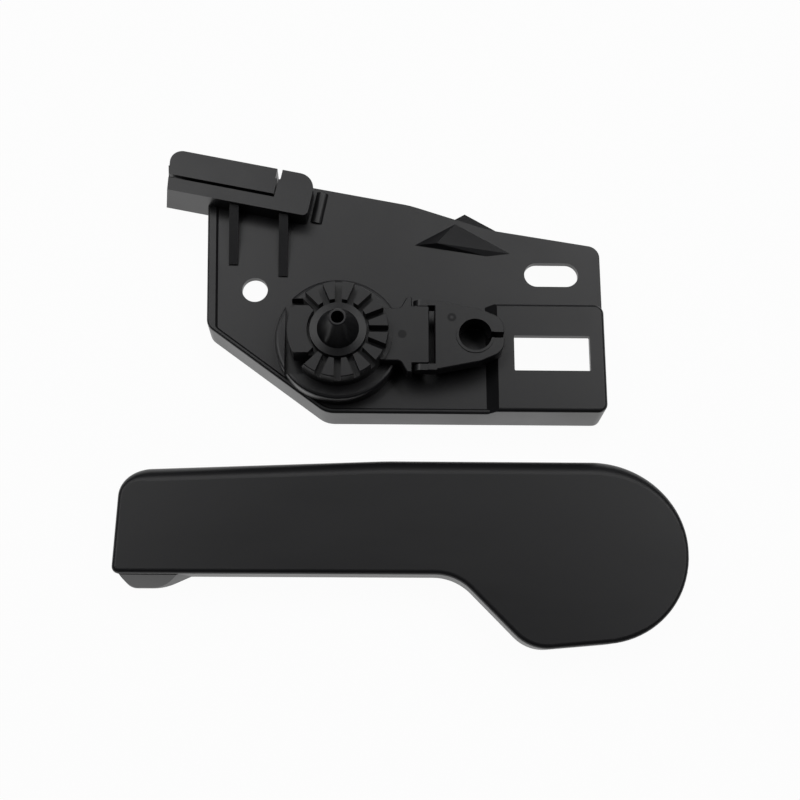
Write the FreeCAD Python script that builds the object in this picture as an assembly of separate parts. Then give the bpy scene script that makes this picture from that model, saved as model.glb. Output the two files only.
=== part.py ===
"""Hood release handle for a vehicle footwell, in moulded black plastic.

Two halves lie side by side as taken off the vehicle. The mounting bracket carries
a toothed drive lever, and a cable eye is hinged on the lever's arm. The pull handle
has a splined socket in its back that presses onto the lever's toothed hub.

Millimetres. The origin is on the lever's turning axis, level with the bottom rim of
the bracket. +X runs along the cable, +Y towards the cable channel, +Z up.
"""
import FreeCAD, Part
import math
import os
from FreeCAD import Vector

# How far a cutter runs past the face it opens, and a joining shape into its neighbour
PAST = 1.0
SUNK = 0.5
# Two levels closer than this are one level
SAME_LEVEL = 0.001

# Mounting bracket: levels above the bottom rim
PLATE_Z = 10.5
PLATE_T = 2.0
WALL = 2.0
RIM_RISE = 0.8
PLATEAU_Z = 14.0
BOSS_Z = 16.1

# Mounting bracket: plan
LEFT_TOP_X = -38.3
LEFT_LOW_X = -36.9
RIGHT_X = 74.2
SOUTH_Y = -20.0
DIAGONAL_DEG = -36.8
DIAGONAL_R = 18.0
NORTH_NEAR_CHANNEL = (-9.5, 48.2)
NORTH_FIRST_BEND = (20.0, 42.7)
NORTH_SECOND_BEND = (42.5, 35.3)
NORTH_RIGHT_Y = 30.1
RIM_SIDE_W = 2.4
RIM_W = 1.0
RIM_EDGE_R = 0.7
RIM_FOOT = 0.6
LOW_LEFT_R = 4.0
HEEL_R = 7.0
SOUTH_CORNER_R = 2.6
NORTH_CORNER_R = 3.6
NORTH_BEND_R = 30.0

# Raised cable platform and its window for the cable's end clip
PLATEAU_LEFT_X = 44.2
PLATEAU_SLOPE = 3.1
PLATEAU_NORTH_Y = 11.5
PLATEAU_EDGE_R = 1.0
WINDOW_CENTRE = (59.3, -3.1)
WINDOW_L = 21.1
WINDOW_W = 10.2
WINDOW_CORNER_R = 0.3

# Fixing holes for M6 screws
SCREW_HOLE_R = 3.6
SCREW_HOLE_AT = (-23.8, 16.2)
SLOT_AT = (60.2, 21.6)
SLOT_L = 15.4

# Bearing boss for the drive lever
BOSS_R = 17.5
BOSS_EDGE_R = 1.0
BOSS_EDGE_BANDS = 3
BEARING_R = 6.0
SLEEVE_WALL = 2.2
SLEEVE_BOTTOM_Z = 4.0
POCKET_X = (-14.7, -9.0)
POCKET_Y = (-10.4, 11.6)
POCKET_DEPTH = 3.4
RIB_T = 1.5
RIB_BOTTOM_Z = 2.0
RIB_ANGLES = (42.0, 75.0, 115.0, 165.0, 245.0, 335.0)

# Cable channel across the bracket's upper left corner
CHANNEL_AT = (-49.0, 43.9)
CHANNEL_DEG = -11.0
CHANNEL_L = 40.4
CHANNEL_W = 12.6
CHANNEL_TOP_Z = 17.0
CHANNEL_BOTTOM_Z = 4.0
CHANNEL_WALL = 1.8
CHANNEL_CORNERS_R = (0.0, 1.6, 4.6, 3.4)
CHANNEL_END_LEAN = 1.9
SLIT_V = 4.35
SLIT_W = 1.0
FLAP_L = 30.1
FLAP_CUT_W = 0.35
NOTCH_W = 1.5
NOTCH_DEPTH = 3.1
NOTCH_BOTTOM_Z = 6.0
NOTCH_R = 0.4

# Stiffening on the bracket's face
GUSSET_W = 2.6
GUSSET_TOP_Z = 15.6
GUSSET_TOE = 0.5
GUSSETS = ((-30.1, 23.7), (-16.0, 20.3))
END_RIB_R = 2.2
END_RIB_RISE = 0.8
END_RIB_L = 9.5
END_RIB_SETBACK = 2.0
CREASE_PEAK = (27.6, 30.3)
CREASE_H = 1.9
CREASE_FEET = ((21.3, 30.3), (42.1, 27.1), (48.6, 28.0), (33.0, 37.0))

# Drive lever
RUN_GAP = 0.1
SHAFT_GAP = 0.05
DISC_R = 13.75
DISC_Z = 24.2
DISC_FOOT_R = 14.7
DISC_FOOT_Z = 20.8
TOOTH_COUNT = 16
TOOTH_GAP_W = 1.9
TOOTH_H = 3.4
TOOTH_IN_R = 8.5
KEY_TEETH = 3
KEY_HALF_W = 6.7
KEY_DROP = 0.5
SKIRT_R = 7.7
SKIRT_DROP = (0.6, 0.2)
CONE_R = 5.7
TIP_R = 2.45
TIP_EDGE = 0.3
TIP_HOLE_R = 1.75
TIP_HOLE_DEPTH = 9.0
ARM_Z = 20.0
ARM_T = 4.6
ARM_HALF_W = 7.6
ARM_NECK_X = 17.0
SHOULDER_X = 20.2
SHOULDER_HALF_W = 10.9
TAB_END_X = 24.9
TAB_HALF_W = 8.3
NECK_R = 1.5
SHOULDER_SLOPE = 1.4
SHOULDER_R = 0.8
TAB_CORNER_R = 0.5
BARB_R = 6.9
BARB_H = 2.6
BARB_LAND = 0.5
BARB_TAPER = 0.6
LEG_BORE_R = 3.6
LEG_SLIT_W = 2.2
LEG_ROOT_H = 3.0
EDGE_BREAK = 0.25

# Cable eye, hinged on two trunnions of the lever
HINGE_X = 22.6
TRUNNION_R = 1.5
FORK_T = 1.7
FORK_GAP = 0.15
FORK_END_R = 2.0
EYE_X = 37.5
EYE_END_X = 45.5
EYE_R = 7.6
EYE_BORE_R = 4.55
EYE_RIM_W = 0.7
EYE_RIM_H = 0.3
EYE_LEFT_X = 26.4
EYE_NECK_X = 38.9
EYE_NECK_R = 3.0
EYE_NOSE_HALF_W = 4.7
EYE_NOSE_R = 4.4
EYE_SLIT_W = 1.7

# Pull handle
HANDLE_H = 12.4
HANDLE_WALL = 2.2
HANDLE_FACE_T = 2.0
HANDLE_LEAN_DEG = 5.7
HANDLE_EDGE_R = 1.2
GRIP_EDGE_R = 4.4
GRIP_LEFT_LOW_X = -59.4
GRIP_LEFT_TOP_X = -58.5
GRIP_LOW_Y = -64.8
GRIP_TOP_LEFT_Y = -35.4
GRIP_CREST_X = 13.5
PALM_AT = (69.4, -57.8)
PALM_R = 25.3
PALM_LOW_R = 24.6
PALM_FOOT_DEG = 5.0
PALM_HEEL_X = 51.2
THROAT_X = 31.9
GRIP_LOW_R = 2.0
GRIP_TOP_LEFT_R = 9.0
GRIP_CREST_R = 60.0
THROAT_R = 13.0
PALM_HEEL_R = 12.0
PALM_FLAT = 0.6
SOCKET_R = 16.2
SOCKET_FACE_Z = 1.4
SOCKET_TIP_GAP = 0.2
SPLINE_BOTTOM_Z = 0.2
SPLINE_GAP = 0.1
CONE_GAP = 0.15
KEY_SEAT_DEPTH = 0.2
PIN_GAP = 0.1
PIN_L = 6.0
FINGER_STOP_X = (-58.0, -37.0)
FINGER_STOP_REACH = 2.0
FINGER_STOP_H = 10.2
FINGER_STOP_FALL = 9.0
FINGER_STOP_CREST = (-57.0, -46.5)
FINGER_STOP_CORNERS_R = (4.0, 14.0)
HANDLE_RIB_T = 1.4
HANDLE_RIB_BOTTOM_Z = 1.0
HANDLE_RIBS_X = (-42.0, -22.0, -2.0, 18.0, 38.0)
SPOKE_ANGLES = (-60.0, 0.0, 60.0, 120.0, 240.0)


def box(x_range, y_range, z_range):
    """A block between three pairs of limits."""
    low = Vector(min(x_range), min(y_range), min(z_range))
    high = Vector(max(x_range), max(y_range), max(z_range))
    size = high - low
    return Part.makeBox(size.x, size.y, size.z, low)


def cylinder(radius, z_low, z_high, at=(0.0, 0.0)):
    """An upright cylinder between two levels."""
    return Part.makeCylinder(radius, z_high - z_low, Vector(at[0], at[1], z_low))


def rounded_wire(corners, z):
    """A closed outline at level z from corners (x, y, radius), with tangent arcs."""
    arcs = {}
    ends = []
    count = len(corners)
    for i, (x, y, radius) in enumerate(corners):
        here = Vector(x, y, z)
        back = Vector(corners[i - 1][0], corners[i - 1][1], z) - here
        ahead = Vector(corners[(i + 1) % count][0], corners[(i + 1) % count][1], z) - here
        back.normalize()
        ahead.normalize()
        if radius <= 0.0:
            ends.append((here, here))
            continue
        half = 0.5 * back.getAngle(ahead)
        middle = back + ahead
        middle.normalize()
        start = here + back * (radius / math.tan(half))
        stop = here + ahead * (radius / math.tan(half))
        crown = here + middle * (radius / math.sin(half) - radius)
        arcs[i] = Part.Arc(start, crown, stop).toShape()
        ends.append((start, stop))
    loop = []
    for i in range(count):
        if i in arcs:
            loop.append(arcs[i])
        leave = ends[i][1]
        arrive = ends[(i + 1) % count][0]
        if leave.distanceToPoint(arrive) > SAME_LEVEL:
            loop.append(Part.LineSegment(leave, arrive).toShape())
    return Part.Wire(Part.__sortEdges__(loop))


def turns_left(corners, i):
    """Is corner i convex, on an outline that runs counter-clockwise?"""
    ax, ay = corners[i - 1][0], corners[i - 1][1]
    bx, by = corners[i][0], corners[i][1]
    cx, cy = corners[(i + 1) % len(corners)][0], corners[(i + 1) % len(corners)][1]
    return (bx - ax) * (cy - by) - (by - ay) * (cx - bx) > 0.0


def inset(corners, widths):
    """The outline moved inwards; widths has one value, or one for each side."""
    count = len(corners)
    if not isinstance(widths, (list, tuple)):
        widths = [widths] * count
    moved = []
    for i in range(count):
        x, y, radius = corners[i]
        px, py = corners[i - 1][0], corners[i - 1][1]
        nx, ny = corners[(i + 1) % count][0], corners[(i + 1) % count][1]
        before = math.atan2(y - py, x - px)
        after = math.atan2(ny - y, nx - x)
        d_before, d_after = widths[i - 1], widths[i]
        b = (-math.sin(before), math.cos(before))
        a = (-math.sin(after), math.cos(after))
        cross = b[0] * a[1] - b[1] * a[0]
        if abs(cross) < 1e-9:
            shift = (b[0] * d_before, b[1] * d_before)
        else:
            shift_x = (d_before * a[1] - d_after * b[1]) / cross
            shift_y = (b[0] * d_after - a[0] * d_before) / cross
            shift = (shift_x, shift_y)
        if turns_left(corners, i):
            new_radius = max(radius - max(d_before, d_after), 0.0)
        else:
            new_radius = radius + max(min(d_before, d_after), 0.0)
        moved.append((x + shift[0], y + shift[1], new_radius))
    return moved


def upper_rim(solid, z_high):
    """The edges of a solid's top face."""
    return [e for e in solid.Edges if e.BoundBox.ZMin > z_high - SAME_LEVEL]


def prism(corners, z_low, z_high, edge_r=0.0, edge_break=0.0):
    """An upright solid on a rounded outline, its upper edge rounded or broken."""
    face = Part.Face(rounded_wire(corners, z_low))
    solid = face.extrude(Vector(0, 0, z_high - z_low))
    if edge_r > 0.0:
        solid = solid.makeFillet(edge_r, upper_rim(solid, z_high))
    if edge_break > 0.0:
        solid = solid.makeChamfer(edge_break, upper_rim(solid, z_high))
    return solid


def turned(profile):
    """A solid of revolution about the lever's axis from (radius, z) points."""
    points = [Vector(r, 0, z) for r, z in profile]
    face = Part.Face(Part.makePolygon(points + [points[0]]))
    return face.revolve(Vector(0, 0, 0), Vector(0, 0, 1), 360)


def profile_bar(points, run):
    """A flat outline of 3-D points, drawn along run."""
    return Part.Face(Part.makePolygon(points + [points[0]])).extrude(run)


def union(shapes):
    """All shapes fused into one, with seams removed."""
    return shapes[0].fuse(shapes[1:]).removeSplitter()


def diagonal_point(x=None, y=None):
    """A point on the bracket's diagonal edge, given its x or its y."""
    angle = math.radians(DIAGONAL_DEG)
    nx, ny = math.sin(angle), -math.cos(angle)
    if y is None:
        return x, (DIAGONAL_R - nx * x) / ny
    return (DIAGONAL_R - ny * y) / nx, y


def bracket_outline():
    """The bracket's outer edge, counter-clockwise from the lower left."""
    low_x, low_y = diagonal_point(x=LEFT_LOW_X)
    foot_x, _ = diagonal_point(y=SOUTH_Y)
    slope = (NORTH_FIRST_BEND[1] - NORTH_NEAR_CHANNEL[1]) / (NORTH_FIRST_BEND[0] - NORTH_NEAR_CHANNEL[0])
    corner_y = NORTH_NEAR_CHANNEL[1] + slope * (LEFT_TOP_X - NORTH_NEAR_CHANNEL[0])
    return [
        (low_x, low_y, LOW_LEFT_R),
        (foot_x, SOUTH_Y, HEEL_R),
        (RIGHT_X, SOUTH_Y, SOUTH_CORNER_R),
        (RIGHT_X, NORTH_RIGHT_Y, NORTH_CORNER_R),
        (NORTH_SECOND_BEND[0], NORTH_SECOND_BEND[1], NORTH_BEND_R),
        (NORTH_FIRST_BEND[0], NORTH_FIRST_BEND[1], NORTH_BEND_R),
        (LEFT_TOP_X, corner_y, 0.0),
    ]


def plateau_outline():
    """The cable platform's outline, from the foot of its sloping left side."""
    left_x = PLATEAU_LEFT_X - PLATEAU_SLOPE
    return [
        (left_x, SOUTH_Y, 0.0),
        (RIGHT_X, SOUTH_Y, SOUTH_CORNER_R),
        (RIGHT_X, PLATEAU_NORTH_Y, SOUTH_CORNER_R),
        (left_x, PLATEAU_NORTH_Y, 0.0),
    ]


def platform():
    """The raised cable platform, with rounded upper edges and a sloping left side."""
    block = prism(plateau_outline(), PLATE_Z - PLATE_T / 2, PLATEAU_Z, PLATEAU_EDGE_R)
    foot_x = PLATEAU_LEFT_X - PLATEAU_SLOPE
    south = SOUTH_Y - PAST
    above = [
        Vector(foot_x - PAST, south, PLATE_Z),
        Vector(foot_x, south, PLATE_Z),
        Vector(PLATEAU_LEFT_X, south, PLATEAU_Z),
        Vector(PLATEAU_LEFT_X, south, PLATEAU_Z + PAST),
        Vector(foot_x - PAST, south, PLATEAU_Z + PAST),
    ]
    return block.cut(profile_bar(above, Vector(0, PLATEAU_NORTH_Y - SOUTH_Y + 2 * PAST, 0)))


def channel_prism(corners, z_low, z_high):
    """A prism in the cable channel's own directions, along it and across it."""
    solid = prism(corners, z_low, z_high)
    solid.rotate(Vector(0, 0, 0), Vector(0, 0, 1), CHANNEL_DEG)
    solid.translate(Vector(CHANNEL_AT[0], CHANNEL_AT[1], 0))
    return solid


def rectangle(u_range, v_range, radius=0.0):
    """Four corners, counter-clockwise, all with one radius."""
    u0, u1 = u_range
    v0, v1 = v_range
    return [(u0, v0, radius), (u1, v0, radius), (u1, v1, radius), (u0, v1, radius)]


def cable_channel():
    """The channel's walls, and what is cut out of them and of the plate below."""
    plan = [(0, 0), (CHANNEL_L, 0), (CHANNEL_L, CHANNEL_W), (-CHANNEL_END_LEAN, CHANNEL_W)]
    outer = [(u, v, radius) for (u, v), radius in zip(plan, CHANNEL_CORNERS_R)]
    walls = channel_prism(outer, 0, CHANNEL_TOP_Z)
    beside = (CHANNEL_AT[0] - CHANNEL_W, LEFT_TOP_X)
    across = (CHANNEL_AT[1] - CHANNEL_W, CHANNEL_AT[1] + 2 * CHANNEL_W)
    walls = walls.cut(box(beside, across, (-PAST, CHANNEL_BOTTOM_Z))).fuse(channel_toe())
    hollow_corners = inset(outer, [CHANNEL_WALL, CHANNEL_WALL, CHANNEL_WALL, -PAST])
    roof_z = CHANNEL_TOP_Z - CHANNEL_WALL
    through_roof = (roof_z - PAST, CHANNEL_TOP_Z + PAST)
    hollow = channel_prism(hollow_corners, -PAST, roof_z)
    slit_v = (SLIT_V - SLIT_W / 2, SLIT_V + SLIT_W / 2)
    slit = channel_prism(rectangle((-PAST, FLAP_L), slit_v), *through_roof)
    flap_u = (FLAP_L - FLAP_CUT_W, FLAP_L)
    flap_cut = channel_prism(rectangle(flap_u, (SLIT_V, CHANNEL_W - PAST)), *through_roof)
    notch_u = FLAP_L - FLAP_CUT_W / 2
    notch_u_range = (notch_u - NOTCH_W / 2, notch_u + NOTCH_W / 2)
    notch_v_range = (CHANNEL_W - NOTCH_DEPTH, CHANNEL_W + PAST)
    notch_corners = rectangle(notch_u_range, notch_v_range, NOTCH_R)
    notch = channel_prism(notch_corners, NOTCH_BOTTOM_Z, CHANNEL_TOP_Z + PAST)
    return walls, hollow, [slit, flap_cut, notch]


def channel_toe():
    """The foot of the channel's lower wall, which slants out at the open end."""
    side = [
        Vector(SUNK, 0, CHANNEL_BOTTOM_Z),
        Vector(SUNK, 0, CHANNEL_TOP_Z),
        Vector(0, 0, CHANNEL_TOP_Z),
        Vector(-CHANNEL_END_LEAN, 0, CHANNEL_BOTTOM_Z),
    ]
    toe = profile_bar(side, Vector(0, CHANNEL_WALL, 0))
    toe.rotate(Vector(0, 0, 0), Vector(0, 0, 1), CHANNEL_DEG)
    toe.translate(Vector(CHANNEL_AT[0], CHANNEL_AT[1], 0))
    return toe


def gusset(x, toe_y):
    """A rib that rises from the plate to the cable channel's wall."""
    channel_slope = math.tan(math.radians(CHANNEL_DEG))
    wall_y = CHANNEL_AT[1] + (x - CHANNEL_AT[0]) * channel_slope + CHANNEL_WALL / 2
    base_z = PLATE_Z - PLATE_T / 2
    points = [
        Vector(x - GUSSET_W / 2, toe_y, base_z),
        Vector(x - GUSSET_W / 2, wall_y, base_z),
        Vector(x - GUSSET_W / 2, wall_y, GUSSET_TOP_Z),
        Vector(x - GUSSET_W / 2, toe_y, PLATE_Z + GUSSET_TOE),
    ]
    return profile_bar(points, Vector(GUSSET_W, 0, 0))


def crease():
    """The low crease that stiffens the plate beside its upper edge: four slopes to a peak."""
    peak = Vector(CREASE_PEAK[0], CREASE_PEAK[1], PLATE_Z + CREASE_H)
    into_plate = 1.0 + PLATE_T / 2 / CREASE_H
    feet = [peak + (Vector(x, y, PLATE_Z) - peak) * into_plate for x, y in CREASE_FEET]
    return Part.makeLoft([Part.makePolygon(feet + [feet[0]]), Part.Vertex(peak)], True, True)


def end_rib():
    """The round rib that closes the corner at the cable channel's right end."""
    start_v = CHANNEL_W - END_RIB_L - END_RIB_SETBACK
    axis_z = PLATE_Z + END_RIB_RISE - END_RIB_R
    rib = Part.makeCylinder(
        END_RIB_R, END_RIB_L, Vector(CHANNEL_L + END_RIB_R, start_v, axis_z), Vector(0, 1, 0))
    above = box(
        (CHANNEL_L, CHANNEL_L + 2 * END_RIB_R), (start_v, start_v + END_RIB_L),
        (PLATE_Z - PLATE_T / 2, PLATE_Z + END_RIB_R))
    rib = rib.common(above)
    rib.rotate(Vector(0, 0, 0), Vector(0, 0, 1), CHANNEL_DEG)
    rib.translate(Vector(CHANNEL_AT[0], CHANNEL_AT[1], 0))
    return rib


def back_ribs(inside):
    """Radial ribs under the plate between the bearing sleeve and the skirt."""
    ribs = []
    reach = (BEARING_R + SLEEVE_WALL / 2, RIGHT_X - LEFT_TOP_X)
    for angle in RIB_ANGLES:
        rib = box(reach, (-RIB_T / 2, RIB_T / 2), (RIB_BOTTOM_Z, PLATE_Z - PLATE_T / 2))
        rib.rotate(Vector(0, 0, 0), Vector(0, 0, 1), angle)
        ribs.append(rib.common(inside))
    return ribs


def bearing_boss():
    """The round boss under the drive lever, its upper edge eased in narrow bands."""
    eased = []
    for band in range(BOSS_EDGE_BANDS + 1):
        angle = 0.5 * math.pi * band / BOSS_EDGE_BANDS
        radius = BOSS_R - BOSS_EDGE_R + BOSS_EDGE_R * math.cos(angle)
        eased.append((radius, BOSS_Z - BOSS_EDGE_R + BOSS_EDGE_R * math.sin(angle)))
    base_z = PLATE_Z - PLATE_T
    return turned([(0, base_z), (BOSS_R, base_z)] + eased + [(0, BOSS_Z)])


def mounting_bracket():
    """The moulded bracket: skirted plate, cable platform, bearing boss and channel."""
    outline = bracket_outline()
    body = prism(outline, 0, PLATE_Z + RIM_RISE, RIM_EDGE_R)
    tray_outline = inset(outline, [RIM_W, RIM_W, -PAST, -PAST, -PAST, -PAST, RIM_SIDE_W])
    tray = prism(tray_outline, PLATE_Z, PLATE_Z + RIM_RISE + PAST)
    rim_foot = [e for e in tray.Edges if e.BoundBox.ZMax < PLATE_Z + SAME_LEVEL]
    body = body.cut(tray.makeChamfer(RIM_FOOT, rim_foot))
    hollow_outline = inset(outline, WALL)
    inside = prism(hollow_outline, -PAST, PLATE_Z - PLATE_T)
    under_plateau = prism(
        inset(plateau_outline(), [WALL, WALL, WALL, PLATEAU_SLOPE + PLATE_T]), -PAST, PLATEAU_Z - PLATE_T)
    boss = bearing_boss()
    under_boss = cylinder(BOSS_R - WALL, -PAST, BOSS_Z - PLATE_T)
    pocket = box(POCKET_X, POCKET_Y, (BOSS_Z - POCKET_DEPTH, BOSS_Z + PAST))
    pocket_wall = box(
        (POCKET_X[0] - WALL, POCKET_X[1] + WALL), (POCKET_Y[0] - WALL, POCKET_Y[1] + WALL),
        (BOSS_Z - POCKET_DEPTH - WALL, BOSS_Z - WALL / 2))
    pocket_wall = pocket_wall.common(cylinder(BOSS_R - WALL / 2, 0, BOSS_Z))
    sleeve = cylinder(BEARING_R + SLEEVE_WALL, SLEEVE_BOTTOM_Z, BOSS_Z - WALL / 2)
    walls, channel_hollow, channel_cuts = cable_channel()
    shell = union([body, platform(), boss]).cut(union([inside, under_plateau, under_boss]))
    shell = union([shell, pocket_wall, sleeve, walls, end_rib(), crease()] + back_ribs(inside))
    shell = union([shell.cut(channel_hollow)] + [gusset(x, y) for x, y in GUSSETS])
    holes = [
        cylinder(SCREW_HOLE_R, -PAST, PLATE_Z + PAST, SCREW_HOLE_AT),
        slot_cutter(),
        window_cutter(),
        cylinder(BEARING_R, -PAST, BOSS_Z + PAST),
        pocket,
    ]
    return shell.cut(holes + channel_cuts)


def slot_cutter():
    """The oblong screw hole, which lets the bracket be adjusted."""
    half = SLOT_L / 2
    x, y = SLOT_AT
    corners = rectangle((x - half, x + half), (y - SCREW_HOLE_R, y + SCREW_HOLE_R), SCREW_HOLE_R)
    return prism(corners, -PAST, PLATE_Z + PAST)


def window_cutter():
    """The window for the cable's end clip."""
    x, y = WINDOW_CENTRE
    x_range = (x - WINDOW_L / 2, x + WINDOW_L / 2)
    y_range = (y - WINDOW_W / 2, y + WINDOW_W / 2)
    return prism(rectangle(x_range, y_range, WINDOW_CORNER_R), -PAST, PLATEAU_Z + PAST)


def cone_height():
    """How far the lever's nose stands above its teeth, from the handle's depth."""
    return HANDLE_H - HANDLE_FACE_T - SOCKET_FACE_Z - SOCKET_TIP_GAP


def tooth_angles():
    """The angles of the gaps between the teeth; the key takes the place of a few."""
    step = 360.0 / TOOTH_COUNT
    reach = (TOOTH_COUNT - KEY_TEETH - 1) // 2
    return [step * i for i in range(-reach, reach + 1)]


def radial_bars(width, r_in, r_out, z_low, z_high):
    """Radial bars at every tooth gap."""
    bars = []
    for angle in tooth_angles():
        bar = box((r_in, r_out), (-width / 2, width / 2), (z_low, z_high))
        bar.rotate(Vector(0, 0, 0), Vector(0, 0, 1), angle)
        bars.append(bar)
    return bars


def beside_key(side):
    """What is cut away between the key's side and the nearest tooth gap."""
    last = math.radians(tooth_angles()[-1])
    ray = Vector(math.cos(last), math.sin(last), 0)
    near = ray * (KEY_HALF_W / ray.y)
    far = ray * (2 * DISC_R)
    corners = [(near.x, side * near.y, 0.0), (far.x, side * far.y, 0.0), (far.x, side * near.y, 0.0)]
    return prism(corners, BOSS_Z, DISC_Z + PAST)


def lever_hub():
    """The lever's toothed disc with its nose, key, shaft and snap legs."""
    bottom_z = BOSS_Z + RUN_GAP
    floor_z = DISC_Z - TOOTH_H
    tip_z = DISC_Z + cone_height()
    shaft_r = BEARING_R - SHAFT_GAP
    barb_top = SLEEVE_BOTTOM_Z - RUN_GAP
    barb_bottom = barb_top - BARB_H
    body = turned([
        (0, barb_bottom),
        (shaft_r - BARB_TAPER, barb_bottom),
        (BARB_R, barb_top - BARB_LAND),
        (BARB_R, barb_top),
        (shaft_r, barb_top),
        (shaft_r, bottom_z),
        (DISC_R, bottom_z),
        (DISC_R, DISC_Z - EDGE_BREAK),
        (DISC_R - EDGE_BREAK, DISC_Z),
        (TOOTH_IN_R, DISC_Z),
        (TOOTH_IN_R, floor_z),
        (SKIRT_R, floor_z),
        (SKIRT_R, DISC_Z - SKIRT_DROP[0]),
        (CONE_R, DISC_Z - SKIRT_DROP[1]),
        (TIP_R, tip_z - TIP_EDGE),
        (TIP_R - TIP_EDGE, tip_z),
        (0, tip_z),
    ])
    key_y = (-KEY_HALF_W, KEY_HALF_W)
    foot = cylinder(DISC_FOOT_R, bottom_z, DISC_FOOT_Z)
    foot = foot.common(box((0, DISC_FOOT_R), (-ARM_HALF_W, ARM_HALF_W), (bottom_z, DISC_FOOT_Z)))
    key_top = DISC_Z - KEY_DROP
    above_key = box((-DISC_R - PAST, -CONE_R), key_y, (key_top, DISC_Z + PAST))
    above_key = above_key.cut(cylinder(SKIRT_R, 0, DISC_Z + 2 * PAST))
    tooth_gaps = radial_bars(TOOTH_GAP_W, SKIRT_R, DISC_R + PAST, floor_z, DISC_Z + PAST)
    body = body.cut([above_key, beside_key(-1), beside_key(1)] + tooth_gaps)
    leg_bore = cylinder(LEG_BORE_R, barb_bottom - PAST, bottom_z)
    span = (-BARB_R - PAST, BARB_R + PAST)
    slit = (-LEG_SLIT_W / 2, LEG_SLIT_W / 2)
    slit_z = (barb_bottom - PAST, bottom_z - LEG_ROOT_H)
    tip_hole = cylinder(TIP_HOLE_R, tip_z - TIP_HOLE_DEPTH, tip_z + PAST)
    leg_slits = [box(span, slit, slit_z), box(slit, span, slit_z)]
    return union([body, foot]).cut([leg_bore, tip_hole] + leg_slits)


def lever_arm():
    """The lever's arm with the shoulders, tab and trunnions that carry the eye."""
    root_x = CONE_R
    corners = [
        (root_x, -ARM_HALF_W, 0.0),
        (ARM_NECK_X, -ARM_HALF_W, NECK_R),
        (SHOULDER_X - SHOULDER_SLOPE, -SHOULDER_HALF_W, SHOULDER_R),
        (SHOULDER_X, -SHOULDER_HALF_W, 0.0),
        (SHOULDER_X, -TAB_HALF_W, 0.0),
        (TAB_END_X, -TAB_HALF_W, TAB_CORNER_R),
        (TAB_END_X, TAB_HALF_W, TAB_CORNER_R),
        (SHOULDER_X, TAB_HALF_W, 0.0),
        (SHOULDER_X, SHOULDER_HALF_W, 0.0),
        (SHOULDER_X - SHOULDER_SLOPE, SHOULDER_HALF_W, SHOULDER_R),
        (ARM_NECK_X, ARM_HALF_W, NECK_R),
        (root_x, ARM_HALF_W, 0.0),
    ]
    arm = prism(corners, ARM_Z - ARM_T, ARM_Z, edge_break=EDGE_BREAK)
    clear_boss = cylinder(BOSS_R + SUNK, 0, BOSS_Z + RUN_GAP)
    reach = TAB_HALF_W + FORK_GAP + FORK_T
    start = Vector(HINGE_X, -reach, hinge_z())
    trunnions = Part.makeCylinder(TRUNNION_R, 2 * reach, start, Vector(0, 1, 0))
    return arm.cut(clear_boss).fuse(trunnions)


def hinge_z():
    """The level of the eye's hinge axis, at the middle of the arm."""
    return ARM_Z - ARM_T / 2


def drive_lever():
    """The toothed hub and the arm, moulded as one piece."""
    return union([lever_hub(), lever_arm()])


def cable_eye():
    """The eye that holds the cable's end, with the fork that hangs on the trunnions."""
    z_low, z_high = ARM_Z - ARM_T, ARM_Z
    fork_in = TAB_HALF_W + FORK_GAP
    fork_out = fork_in + FORK_T
    strap = [
        (EYE_LEFT_X, -fork_out, 0.0),
        (EYE_NECK_X, -EYE_R, EYE_NECK_R),
        (EYE_END_X, -EYE_NOSE_HALF_W, EYE_NOSE_R),
        (EYE_END_X, EYE_NOSE_HALF_W, EYE_NOSE_R),
        (EYE_NECK_X, EYE_R, EYE_NECK_R),
        (EYE_LEFT_X, fork_out, 0.0),
    ]
    plate = prism(strap, z_low, z_high, edge_break=EDGE_BREAK)
    pieces = [plate, cylinder(EYE_BORE_R + EYE_RIM_W, z_low, z_high + EYE_RIM_H, (EYE_X, 0))]
    hinge_end = Vector(HINGE_X, -fork_out, hinge_z())
    knuckles = Part.makeCylinder(FORK_END_R, 2 * fork_out, hinge_end, Vector(0, 1, 0))
    pin_bore = Part.makeCylinder(TRUNNION_R + SHAFT_GAP, 2 * fork_out, hinge_end, Vector(0, 1, 0))
    past_knuckle = (HINGE_X + FORK_END_R, EYE_LEFT_X + SUNK)
    knuckle_z = (hinge_z() - FORK_END_R, hinge_z() + FORK_END_R)
    for side in (-1, 1):
        cheek_y = (side * fork_in, side * fork_out)
        beside = box((HINGE_X - FORK_END_R, EYE_LEFT_X), cheek_y, (z_low, z_high))
        pieces.append(box(past_knuckle, cheek_y, (z_low, z_high)))
        pieces.append(box((HINGE_X, past_knuckle[0] + SUNK), cheek_y, knuckle_z))
        pieces.append(knuckles.common(beside))
    through = (z_low - PAST, z_high + PAST)
    cuts = [
        cylinder(EYE_BORE_R, through[0], through[1], (EYE_X, 0)),
        box((EYE_X, EYE_END_X + PAST), (-EYE_SLIT_W / 2, EYE_SLIT_W / 2), through),
        pin_bore,
    ]
    return union(pieces).cut(cuts)


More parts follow.
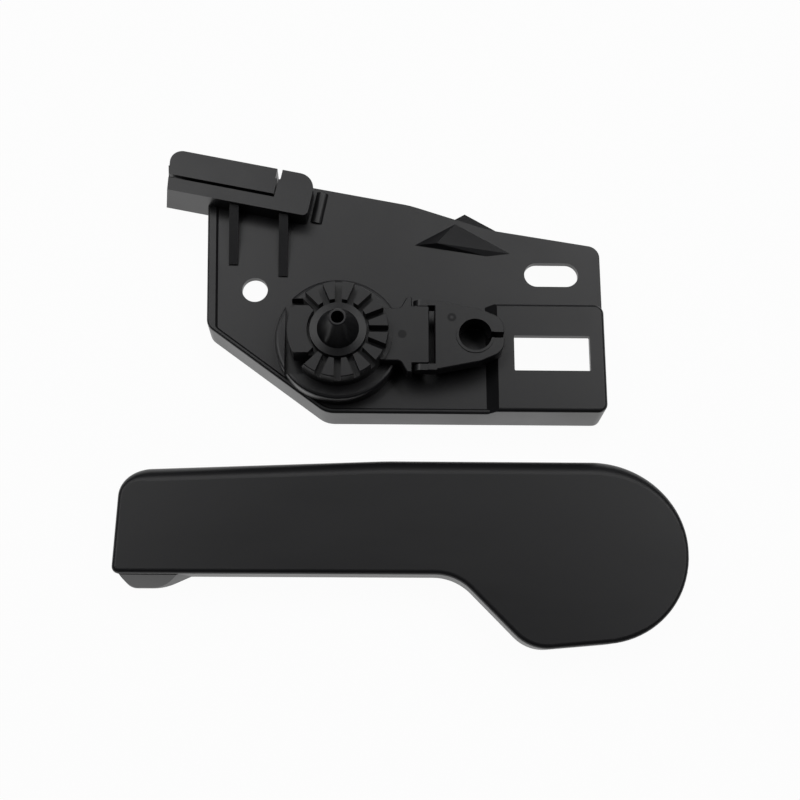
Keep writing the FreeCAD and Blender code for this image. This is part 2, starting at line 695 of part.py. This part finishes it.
def handle_outline():
    """The pull handle's outer edge, counter-clockwise from the grip's lower left."""
    right_x = PALM_AT[0] + PALM_R
    top_y = PALM_AT[1] + PALM_R
    slope = math.radians(PALM_FOOT_DEG)
    foot_x = right_x - PALM_LOW_R + PALM_LOW_R * math.sin(slope)
    foot_y = PALM_AT[1] - PALM_FLAT - PALM_LOW_R * math.cos(slope)
    corner_y = foot_y + (right_x - foot_x) * math.tan(slope)
    heel_y = foot_y + (PALM_HEEL_X - foot_x) * math.tan(slope)
    return [
        (GRIP_LEFT_LOW_X, GRIP_LOW_Y, GRIP_LOW_R),
        (THROAT_X, GRIP_LOW_Y, THROAT_R),
        (PALM_HEEL_X, heel_y, PALM_HEEL_R),
        (right_x, corner_y, PALM_LOW_R),
        (right_x, top_y, PALM_R),
        (GRIP_CREST_X, top_y, GRIP_CREST_R),
        (GRIP_LEFT_TOP_X, GRIP_TOP_LEFT_Y, GRIP_TOP_LEFT_R),
    ]


def wall_lean():
    """How far the handle's walls lean inwards from the face to the open back."""
    return HANDLE_H * math.tan(math.radians(HANDLE_LEAN_DEG))


def edge_radius(point):
    """The radius of the handle's upper edge, larger along the grip's far side."""
    far_side_y = PALM_AT[1] + PALM_R - GRIP_EDGE_R
    return GRIP_EDGE_R if point.y > far_side_y else HANDLE_EDGE_R


def handle_body():
    """The handle's outside, with leaning walls and an upper edge of changing radius."""
    outline = handle_outline()
    back = rounded_wire(inset(outline, wall_lean()), 0)
    face = rounded_wire(outline, HANDLE_H)
    walls = Part.makeLoft([back, face], True, True)
    radii = []
    for number, edge in enumerate(walls.Edges, 1):
        if edge.BoundBox.ZMin > HANDLE_H - SAME_LEVEL:
            start, end = edge.Vertexes[0].Point, edge.Vertexes[-1].Point
            radii.append((number, edge_radius(start), edge_radius(end)))
    document = FreeCAD.newDocument()
    base = document.addObject("Part::Feature", "walls")
    base.Shape = walls
    rounded = document.addObject("Part::Fillet", "rounded")
    rounded.Base = base
    rounded.Edges = radii
    document.recompute()
    return rounded.Shape.copy()


def finger_stop():
    """The swelling on the grip's finger side that keeps the hand from sliding off."""
    left, right = FINGER_STOP_X
    inner_y = GRIP_LOW_Y + wall_lean() + HANDLE_WALL / 2
    crest_y = GRIP_LOW_Y - FINGER_STOP_REACH
    crest = [(x, crest_y, radius) for x, radius in zip(FINGER_STOP_CREST, FINGER_STOP_CORNERS_R)]
    swelling = prism([(left, inner_y, 0.0)] + crest + [(right, inner_y, 0.0)], 0, FINGER_STOP_H)
    low_z = FINGER_STOP_H - FINGER_STOP_FALL
    above = [
        Vector(left - PAST, GRIP_LOW_Y, FINGER_STOP_H),
        Vector(left - PAST, crest_y, low_z),
        Vector(left - PAST, crest_y - PAST, low_z),
        Vector(left - PAST, crest_y - PAST, FINGER_STOP_H + PAST),
        Vector(left - PAST, GRIP_LOW_Y, FINGER_STOP_H + PAST),
    ]
    return swelling.cut(profile_bar(above, Vector(right - left + 2 * PAST, 0, 0)))


def handle_socket():
    """The socket's body, what is bored out of it, and its splines and centre pin."""
    roof_z = HANDLE_H - HANDLE_FACE_T
    barrel = cylinder(SOCKET_R, SOCKET_FACE_Z, roof_z + SUNK)
    bore_end_z = SOCKET_FACE_Z + cone_height() + SOCKET_TIP_GAP
    bore = turned([
        (0, SOCKET_FACE_Z - PAST),
        (TOOTH_IN_R + CONE_GAP, SOCKET_FACE_Z - PAST),
        (TOOTH_IN_R + CONE_GAP, SOCKET_FACE_Z),
        (TIP_R + CONE_GAP, bore_end_z),
        (0, bore_end_z),
    ])
    splines = radial_bars(
        TOOTH_GAP_W - 2 * SPLINE_GAP, TOOTH_IN_R + CONE_GAP, DISC_R, SPLINE_BOTTOM_Z, SOCKET_FACE_Z + SUNK)
    key_seat = box(
        (-SOCKET_R - PAST, -TOOTH_IN_R), (-KEY_HALF_W - CONE_GAP, KEY_HALF_W + CONE_GAP),
        (SOCKET_FACE_Z - PAST, SOCKET_FACE_Z + KEY_SEAT_DEPTH))
    pin = cylinder(TIP_HOLE_R - PIN_GAP, bore_end_z - PIN_L, roof_z + SUNK)
    socket = union([barrel.cut([bore, key_seat]), pin] + splines)
    socket.translate(Vector(PALM_AT[0], PALM_AT[1], 0))
    return socket


def handle_ribs(inside):
    """Cross ribs and one long rib inside the grip, and spokes round the socket."""
    z_range = (HANDLE_RIB_BOTTOM_Z, HANDLE_H - HANDLE_FACE_T / 2)
    half = HANDLE_RIB_T / 2
    top_y = PALM_AT[1] + PALM_R
    across = (PALM_AT[1] - 2 * PALM_R, top_y)
    bars = [box((x - half, x + half), across, z_range) for x in HANDLE_RIBS_X]
    mid_y = (GRIP_LOW_Y + top_y) / 2
    bars.append(box((GRIP_LEFT_LOW_X, PALM_AT[0] - SOCKET_R + PAST), (mid_y - half, mid_y + half), z_range))
    for angle in SPOKE_ANGLES:
        spoke = box((SOCKET_R - PAST, 2 * PALM_R), (-half, half), z_range)
        spoke.rotate(Vector(0, 0, 0), Vector(0, 0, 1), angle)
        spoke.translate(Vector(PALM_AT[0], PALM_AT[1], 0))
        bars.append(spoke)
    clear = cylinder(SOCKET_R - SUNK, -PAST, HANDLE_H, PALM_AT)
    return [bar.common(inside).cut(clear) for bar in bars]


def pull_handle():
    """The pull handle: an open-backed shell with its splined socket and ribs."""
    hollow = inset(handle_outline(), wall_lean() + HANDLE_WALL)
    inside = prism(hollow, -PAST, HANDLE_H - HANDLE_FACE_T)
    shell = union([handle_body(), finger_stop()]).cut(inside)
    return union([shell, handle_socket()] + handle_ribs(inside))


def main():
    """Build every sub-part and write it to its own STEP file."""
    nodes = {
        "mounting_bracket": mounting_bracket(),
        "drive_lever": drive_lever(),
        "cable_eye": cable_eye(),
        "pull_handle": pull_handle(),
    }
    os.makedirs("parts", exist_ok=True)
    for name, shape in nodes.items():
        solid = shape.removeSplitter()
        print(name, "solids", len(solid.Solids), "valid", solid.isValid(), "volume", round(solid.Volume, 1))
        solid.exportStep("parts/" + name + ".step")


main()
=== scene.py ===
"""Hood release handle in moulded black plastic: finishes, floor, lights and camera.

The two halves lie on a pale floor as taken off the vehicle: the mounting bracket with
its toothed drive lever and cable eye, and the pull handle below it. The shapes come
from the frame, and two small ones are added here: the cable channel's floor and a
collar under the cable eye. Sizes of the object are written in millimetres, those of
the floor and lights in metres.
"""
import math

import bpy
from mathutils import Matrix, Vector


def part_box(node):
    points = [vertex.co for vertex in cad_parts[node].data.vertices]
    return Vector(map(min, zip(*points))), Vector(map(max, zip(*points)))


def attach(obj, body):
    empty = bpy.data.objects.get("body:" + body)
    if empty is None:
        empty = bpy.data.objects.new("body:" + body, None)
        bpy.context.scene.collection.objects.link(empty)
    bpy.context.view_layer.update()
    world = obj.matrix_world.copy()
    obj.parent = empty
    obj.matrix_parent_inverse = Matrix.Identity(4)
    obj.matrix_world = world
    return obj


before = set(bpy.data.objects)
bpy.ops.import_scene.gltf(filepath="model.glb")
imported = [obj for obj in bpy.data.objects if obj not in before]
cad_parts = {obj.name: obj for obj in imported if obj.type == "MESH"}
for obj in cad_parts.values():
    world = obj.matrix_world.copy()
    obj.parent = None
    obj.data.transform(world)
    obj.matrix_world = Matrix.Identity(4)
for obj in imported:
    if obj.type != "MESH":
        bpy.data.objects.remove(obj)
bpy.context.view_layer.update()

MM = 0.001

# Camera: a 63 mm lens on a 36 mm sensor, looking down from the grip's side
LENS_MM = 63.0
SENSOR_MM = 36.0
CAMERA_POINT = Vector((7.5, -129.0, 380.2)) * MM
AIM_POINT = Vector((17.2, -15.2, 8.0)) * MM

# Two softboxes, left and right, both on the cable channel's side of the vertical
SOFTBOX_DISTANCE = 0.95
SOFTBOX_SIDE_DEG = 25.0
SOFTBOX_LEAN_DEG = 20.0
SOFTBOX_SIZE = (0.9, 0.4)
SOFTBOX_WATTS = 2.3
WORLD_HEX = "303031"
WORLD_STRENGTH = 1.0

# Floor: the share that glows by itself, straight to the camera and in reflections.
# The glow in reflections fades from the near to the far distance from the object.
FLOOR_SIZE = 6.0
FLOOR_HEX = "f4f4f4"
FLOOR_GLOW_SEEN = 0.965
FLOOR_GLOW_REFLECTED = 0.9
FLOOR_GLOW_NEAR = 0.12
FLOOR_GLOW_FAR = 0.4

# Floor of the cable channel, along and across the channel, its open end cut at a lean
CHANNEL_AT = Vector((-49.0, 43.9, 0.0)) * MM
CHANNEL_DEG = -11.0
CHANNEL_FLOOR_ALONG = (-0.9, 31.0)
CHANNEL_FLOOR_LEAN = 2.4
CHANNEL_FLOOR_ACROSS = (1.7, 10.9)
CHANNEL_FLOOR_HEIGHT = (8.0, 9.2)
CABLE_GROOVE_RIM = 1.4
CABLE_GROOVE_DEPTH = 0.5
FACING_UP = 0.9

# Collar that carries the cable eye's bore down towards the platform
CABLE_EYE_AT = (37.5, 0.0)
COLLAR_BORE_R = 4.6
COLLAR_WALL = 1.5
COLLAR_HEIGHT = (11.6, 15.7)
COLLAR_SIDES = 72
COLLAR_MOUTH_DEG = 14.0
COLLAR_EDGE_R = 0.25
COLLAR_EDGE_STEPS = 2
SMOOTH_DEG = 30.0

# Plastic: cloudy flow in colour and gloss, and mould grain drawn as coarse as it
# needs to be to show, which is coarser than a real tool's
PLASTIC_IOR = 1.5
FLOW_DETAIL = 3.0
FLOW_ROUGHNESS = 0.55
FLOW_SPAN = (0.3, 0.7)
GRAIN_DETAIL = 2.0
GRAIN_ROUGHNESS = 0.6
GRAIN_STRENGTH = 0.35
ACETAL_COLOURS = ("1a1a1c", "202022")
ACETAL_GLOSS = (0.32, 0.38)

# Ejector pin marks: centre, inner and outer radius in millimetres, change of roughness
MARK_EDGE = 0.25
LEVER_MARKS = (((17.5, 0.0), 0.0, 1.35, 0.3),)
EYE_MARKS = (((31.1, 5.0), 0.6, 1.35, 0.3),)


def linear(hex_colour):
    """An sRGB hex colour as the linear RGBA that the shaders take."""
    channels = []
    for start in (0, 2, 4):
        value = int(hex_colour[start:start + 2], 16) / 255
        if value <= 0.04045:
            channels.append(value / 12.92)
        else:
            channels.append(((value + 0.055) / 1.055) ** 2.4)
    return (*channels, 1.0)


def add_node(tree, kind, settings=None, inputs=None, links=None):
    """A node with its settings, its socket values, and links into its sockets."""
    node = tree.nodes.new(kind)
    for name, value in (settings or {}).items():
        setattr(node, name, value)
    for socket, value in (inputs or {}).items():
        node.inputs[socket].default_value = value
    for socket, source in (links or {}).items():
        tree.links.new(source, node.inputs[socket])
    return node


def new_material(name):
    """An empty node material."""
    material = bpy.data.materials.new(name)
    material.use_nodes = True
    material.node_tree.nodes.clear()
    return material


def add_pin_marks(tree, place, roughness, marks):
    """Round ejector pin marks, each as a change of roughness between two radii."""
    plan = add_node(
        tree, "ShaderNodeVectorMath", settings={"operation": "MULTIPLY"},
        inputs={1: (1, 1, 0)}, links={0: place})
    for centre, inner, outer, change in marks:
        reach = add_node(
            tree, "ShaderNodeVectorMath", settings={"operation": "DISTANCE"},
            inputs={1: (centre[0] * MM, centre[1] * MM, 0)}, links={0: plan.outputs["Vector"]})
        within = add_node(
            tree, "ShaderNodeMapRange",
            inputs={
                "From Min": (outer - MARK_EDGE) * MM, "From Max": outer * MM,
                "To Min": 1.0, "To Max": 0.0},
            links={"Value": reach.outputs["Value"]})
        beyond = add_node(
            tree, "ShaderNodeMapRange",
            inputs={"From Min": (inner - MARK_EDGE) * MM, "From Max": inner * MM},
            links={"Value": reach.outputs["Value"]})
        ring = add_node(
            tree, "ShaderNodeMath", settings={"operation": "MULTIPLY"},
            links={0: within.outputs["Result"], 1: beyond.outputs["Result"]})
        changed = add_node(
            tree, "ShaderNodeMath", settings={"operation": "MULTIPLY_ADD"},
            inputs={1: change}, links={0: ring.outputs["Value"], 2: roughness})
        roughness = changed.outputs["Value"]
    return roughness


def moulded_plastic(
        name, colours, gloss, grain_mm, grain_depth_mm, flow_mm,
        flow_stretch=1.0, specular=0.5, marks=()):
    """Black moulded plastic: fine mould grain, with faint cloudy flow in colour and gloss."""
    material = new_material(name)
    tree = material.node_tree
    place = add_node(tree, "ShaderNodeTexCoord").outputs["Object"]
    along_flow = add_node(
        tree, "ShaderNodeMapping", inputs={"Scale": (1 / flow_stretch, 1, 1)},
        links={"Vector": place})
    flow = add_node(
        tree, "ShaderNodeTexNoise",
        inputs={
            "Scale": 1 / (flow_mm * MM), "Detail": FLOW_DETAIL, "Roughness": FLOW_ROUGHNESS},
        links={"Vector": along_flow.outputs["Vector"]})
    grain = add_node(
        tree, "ShaderNodeTexNoise",
        inputs={
            "Scale": 1 / (grain_mm * MM), "Detail": GRAIN_DETAIL, "Roughness": GRAIN_ROUGHNESS},
        links={"Vector": place})
    tint = add_node(
        tree, "ShaderNodeMix", settings={"data_type": "RGBA"},
        inputs={"A": linear(colours[0]), "B": linear(colours[1])},
        links={"Factor": flow.outputs["Fac"]})
    sheen_span = add_node(
        tree, "ShaderNodeMapRange",
        inputs={
            "From Min": FLOW_SPAN[0], "From Max": FLOW_SPAN[1],
            "To Min": gloss[0], "To Max": gloss[1]},
        links={"Value": flow.outputs["Fac"]})
    bump = add_node(
        tree, "ShaderNodeBump",
        inputs={"Strength": GRAIN_STRENGTH, "Distance": grain_depth_mm * MM},
        links={"Height": grain.outputs["Fac"]})
    surface = add_node(
        tree, "ShaderNodeBsdfPrincipled",
        inputs={"IOR": PLASTIC_IOR, "Specular IOR Level": specular},
        links={
            "Base Color": tint.outputs["Result"],
            "Roughness": add_pin_marks(tree, place, sheen_span.outputs["Result"], marks),
            "Normal": bump.outputs["Normal"]})
    add_node(tree, "ShaderNodeOutputMaterial", links={"Surface": surface.outputs["BSDF"]})
    return material


def finish_node(node, material):
    """Give a CAD node its material in every slot."""
    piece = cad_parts[node]
    if not piece.material_slots:
        piece.data.materials.append(material)
    for slot in piece.material_slots:
        slot.material = material


def finish_piece(piece, material, body):
    """Give a new piece its material and its body."""
    piece.data.materials.append(material)
    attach(piece, body)


def select_where(piece, kind, wanted):
    """Select only the corners or faces that are wanted, and stay in edit mode."""
    bpy.ops.object.mode_set(mode="EDIT")
    bpy.ops.mesh.select_mode(type=kind)
    bpy.ops.mesh.select_all(action="DESELECT")
    bpy.ops.object.mode_set(mode="OBJECT")
    for part in piece.data.vertices if kind == "VERT" else piece.data.polygons:
        part.select = wanted(part)
    bpy.ops.object.mode_set(mode="EDIT")


def channel_floor():
    """The floor of the cable channel beyond the plate, with a shallow groove along it."""
    bpy.ops.object.select_all(action="DESELECT")
    low = Vector((CHANNEL_FLOOR_ALONG[0], CHANNEL_FLOOR_ACROSS[0], CHANNEL_FLOOR_HEIGHT[0])) * MM
    high = Vector((CHANNEL_FLOOR_ALONG[1], CHANNEL_FLOOR_ACROSS[1], CHANNEL_FLOOR_HEIGHT[1])) * MM
    middle = (low + high) / 2
    bpy.ops.mesh.primitive_cube_add(size=1, location=middle, scale=high - low)
    piece = bpy.context.active_object
    piece.name = "channel_floor"
    bpy.ops.object.transform_apply(location=True, rotation=True, scale=True)
    select_where(
        piece, "VERT", lambda corner: corner.co.x < middle.x and corner.co.y > middle.y)
    bpy.ops.transform.translate(value=(-CHANNEL_FLOOR_LEAN * MM, 0, 0))
    select_where(piece, "FACE", lambda face: face.normal.z > FACING_UP)
    bpy.ops.mesh.inset(thickness=CABLE_GROOVE_RIM * MM)
    bpy.ops.transform.translate(value=(0, 0, -CABLE_GROOVE_DEPTH * MM))
    bpy.ops.object.mode_set(mode="OBJECT")
    # With no window, rotate turns the other way, so its angle is given negated
    bpy.ops.transform.rotate(
        value=-math.radians(CHANNEL_DEG), orient_axis="Z", center_override=(0, 0, 0))
    bpy.ops.transform.translate(value=CHANNEL_AT)
    bpy.ops.object.transform_apply(location=True, rotation=True, scale=True)
    return piece


def eye_collar():
    """An open collar round the bore below the cable eye, with a mouth for the cable."""
    bpy.ops.object.select_all(action="DESELECT")
    middle = (COLLAR_HEIGHT[0] + COLLAR_HEIGHT[1]) / 2
    bpy.ops.mesh.primitive_cylinder_add(
        vertices=COLLAR_SIDES, radius=(COLLAR_BORE_R + COLLAR_WALL) * MM,
        depth=(COLLAR_HEIGHT[1] - COLLAR_HEIGHT[0]) * MM, end_fill_type="NOTHING",
        location=(CABLE_EYE_AT[0] * MM, CABLE_EYE_AT[1] * MM, middle * MM))
    piece = bpy.context.active_object
    piece.name = "eye_collar"
    mouth = math.cos(math.radians(COLLAR_MOUTH_DEG))
    select_where(piece, "FACE", lambda face: face.normal.x > mouth)
    bpy.ops.mesh.delete(type="FACE")
    bpy.ops.object.mode_set(mode="OBJECT")
    wall = piece.modifiers.new("wall", "SOLIDIFY")
    wall.thickness = COLLAR_WALL * MM
    wall.offset = -1.0
    edge = piece.modifiers.new("edge", "BEVEL")
    edge.width = COLLAR_EDGE_R * MM
    edge.segments = COLLAR_EDGE_STEPS
    edge.limit_method = "ANGLE"
    for modifier in (wall.name, edge.name):
        bpy.ops.object.modifier_apply(modifier=modifier)
    bpy.ops.object.shade_smooth_by_angle(angle=math.radians(SMOOTH_DEG))
    bpy.ops.object.transform_apply(location=True, rotation=True, scale=True)
    return piece


def dress_pieces():
    """The moulded plastics of the four pieces and of what is added to them."""
    # Glass-filled polyamide, moulded: a grey satin sheen with slight cloudiness
    polyamide = moulded_plastic(
        "moulded_polyamide", colours=("1e1e20", "242426"), gloss=(0.3, 0.38),
        grain_mm=0.35, grain_depth_mm=0.02, flow_mm=26.0)
    finish_node("mounting_bracket", polyamide)
    finish_piece(channel_floor(), polyamide, "base")
    # Acetal, moulded: a little darker than the bracket, with an evener sheen
    finish_node("drive_lever", moulded_plastic(
        "moulded_acetal", colours=ACETAL_COLOURS, gloss=ACETAL_GLOSS,
        grain_mm=0.3, grain_depth_mm=0.015, flow_mm=9.0, marks=LEVER_MARKS))
    acetal_eye = moulded_plastic(
        "moulded_acetal_eye", colours=ACETAL_COLOURS, gloss=ACETAL_GLOSS,
        grain_mm=0.3, grain_depth_mm=0.015, flow_mm=8.0, marks=EYE_MARKS)
    finish_node("cable_eye", acetal_eye)
    finish_piece(eye_collar(), acetal_eye, "eye")
    # ABS, moulded in a spark-eroded tool: softer and flatter, with long faint flow streaks
    finish_node("pull_handle", moulded_plastic(
        "moulded_abs", colours=("1c1c1e", "222224"), gloss=(0.34, 0.42),
        grain_mm=0.4, grain_depth_mm=0.025, flow_mm=16.0, flow_stretch=3.5, specular=0.42))


def pale_floor():
    """A plain white floor that shows white to the camera, and near by in reflections."""
    bpy.ops.object.select_all(action="DESELECT")
    lowest = min(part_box(node)[0].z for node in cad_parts)
    bpy.ops.mesh.primitive_plane_add(size=FLOOR_SIZE, location=(0, 0, 0))
    floor = bpy.context.active_object
    floor.name = "floor"
    bpy.ops.transform.translate(value=(0, 0, lowest))
    bpy.ops.object.transform_apply(location=True)
    material = new_material("floor_white")
    tree = material.node_tree
    light_path = add_node(tree, "ShaderNodeLightPath")
    reflected = add_node(
        tree, "ShaderNodeMath", settings={"operation": "MAXIMUM"},
        links={0: light_path.outputs["Is Glossy Ray"], 1: light_path.outputs["Is Transmission Ray"]})
    place = add_node(tree, "ShaderNodeTexCoord").outputs["Object"]
    reach = add_node(
        tree, "ShaderNodeVectorMath", settings={"operation": "LENGTH"}, links={0: place})
    glow_there = add_node(
        tree, "ShaderNodeMapRange",
        inputs={
            "From Min": FLOOR_GLOW_NEAR, "From Max": FLOOR_GLOW_FAR,
            "To Min": FLOOR_GLOW_REFLECTED, "To Max": 0.0},
        links={"Value": reach.outputs["Value"]})
    reflected_share = add_node(
        tree, "ShaderNodeMath", settings={"operation": "MULTIPLY"},
        links={0: reflected.outputs["Value"], 1: glow_there.outputs["Result"]})
    share = add_node(
        tree, "ShaderNodeMath", settings={"operation": "MULTIPLY_ADD"},
        inputs={1: FLOOR_GLOW_SEEN},
        links={0: light_path.outputs["Is Camera Ray"], 2: reflected_share.outputs["Value"]})
    paint = add_node(tree, "ShaderNodeBsdfDiffuse", inputs={"Color": linear(FLOOR_HEX)})
    glow = add_node(tree, "ShaderNodeEmission", inputs={"Color": (1, 1, 1, 1), "Strength": 1.0})
    mixed = add_node(
        tree, "ShaderNodeMixShader",
        links={0: share.outputs["Value"], 1: paint.outputs["BSDF"], 2: glow.outputs["Emission"]})
    add_node(tree, "ShaderNodeOutputMaterial", links={"Surface": mixed.outputs["Shader"]})
    floor.data.materials.append(material)


def studio_lights():
    """Softboxes left and right of the object, in a dim room."""
    lean = math.tan(math.radians(SOFTBOX_LEAN_DEG))
    reach = math.tan(math.radians(SOFTBOX_SIDE_DEG))
    for name, side in (("softbox_left", -1), ("softbox_right", 1)):
        lamp = bpy.data.lights.new(name, "AREA")
        lamp.shape = "RECTANGLE"
        lamp.size = SOFTBOX_SIZE[0]
        lamp.size_y = SOFTBOX_SIZE[1]
        lamp.energy = SOFTBOX_WATTS
        softbox = bpy.data.objects.new(name, lamp)
        bpy.context.scene.collection.objects.link(softbox)
        away = Vector((side * reach, lean, 1.0)).normalized()
        softbox.location = AIM_POINT + away * SOFTBOX_DISTANCE
        softbox.rotation_euler = away.to_track_quat("Z", "Y").to_euler()
    world = bpy.data.worlds.new("studio")
    bpy.context.scene.world = world
    world.use_nodes = True
    background = world.node_tree.nodes["Background"]
    background.inputs["Color"].default_value = linear(WORLD_HEX)
    background.inputs["Strength"].default_value = WORLD_STRENGTH


def photo_camera():
    """The camera, with its picture's level line along X."""
    camera_data = bpy.data.cameras.new("camera")
    camera_data.lens = LENS_MM
    camera_data.sensor_width = SENSOR_MM
    camera = bpy.data.objects.new("camera", camera_data)
    bpy.context.scene.collection.objects.link(camera)
    sight = (AIM_POINT - CAMERA_POINT).normalized()
    across = sight.cross(Vector((0, 1, 0))).normalized()
    upward = across.cross(sight)
    turn = Matrix((across, upward, -sight)).transposed().to_4x4()
    camera.matrix_world = Matrix.Translation(CAMERA_POINT) @ turn
    bpy.context.scene.camera = camera


dress_pieces()
pale_floor()
studio_lights()
photo_camera()
bpy.context.scene.view_settings.view_transform = "Standard"
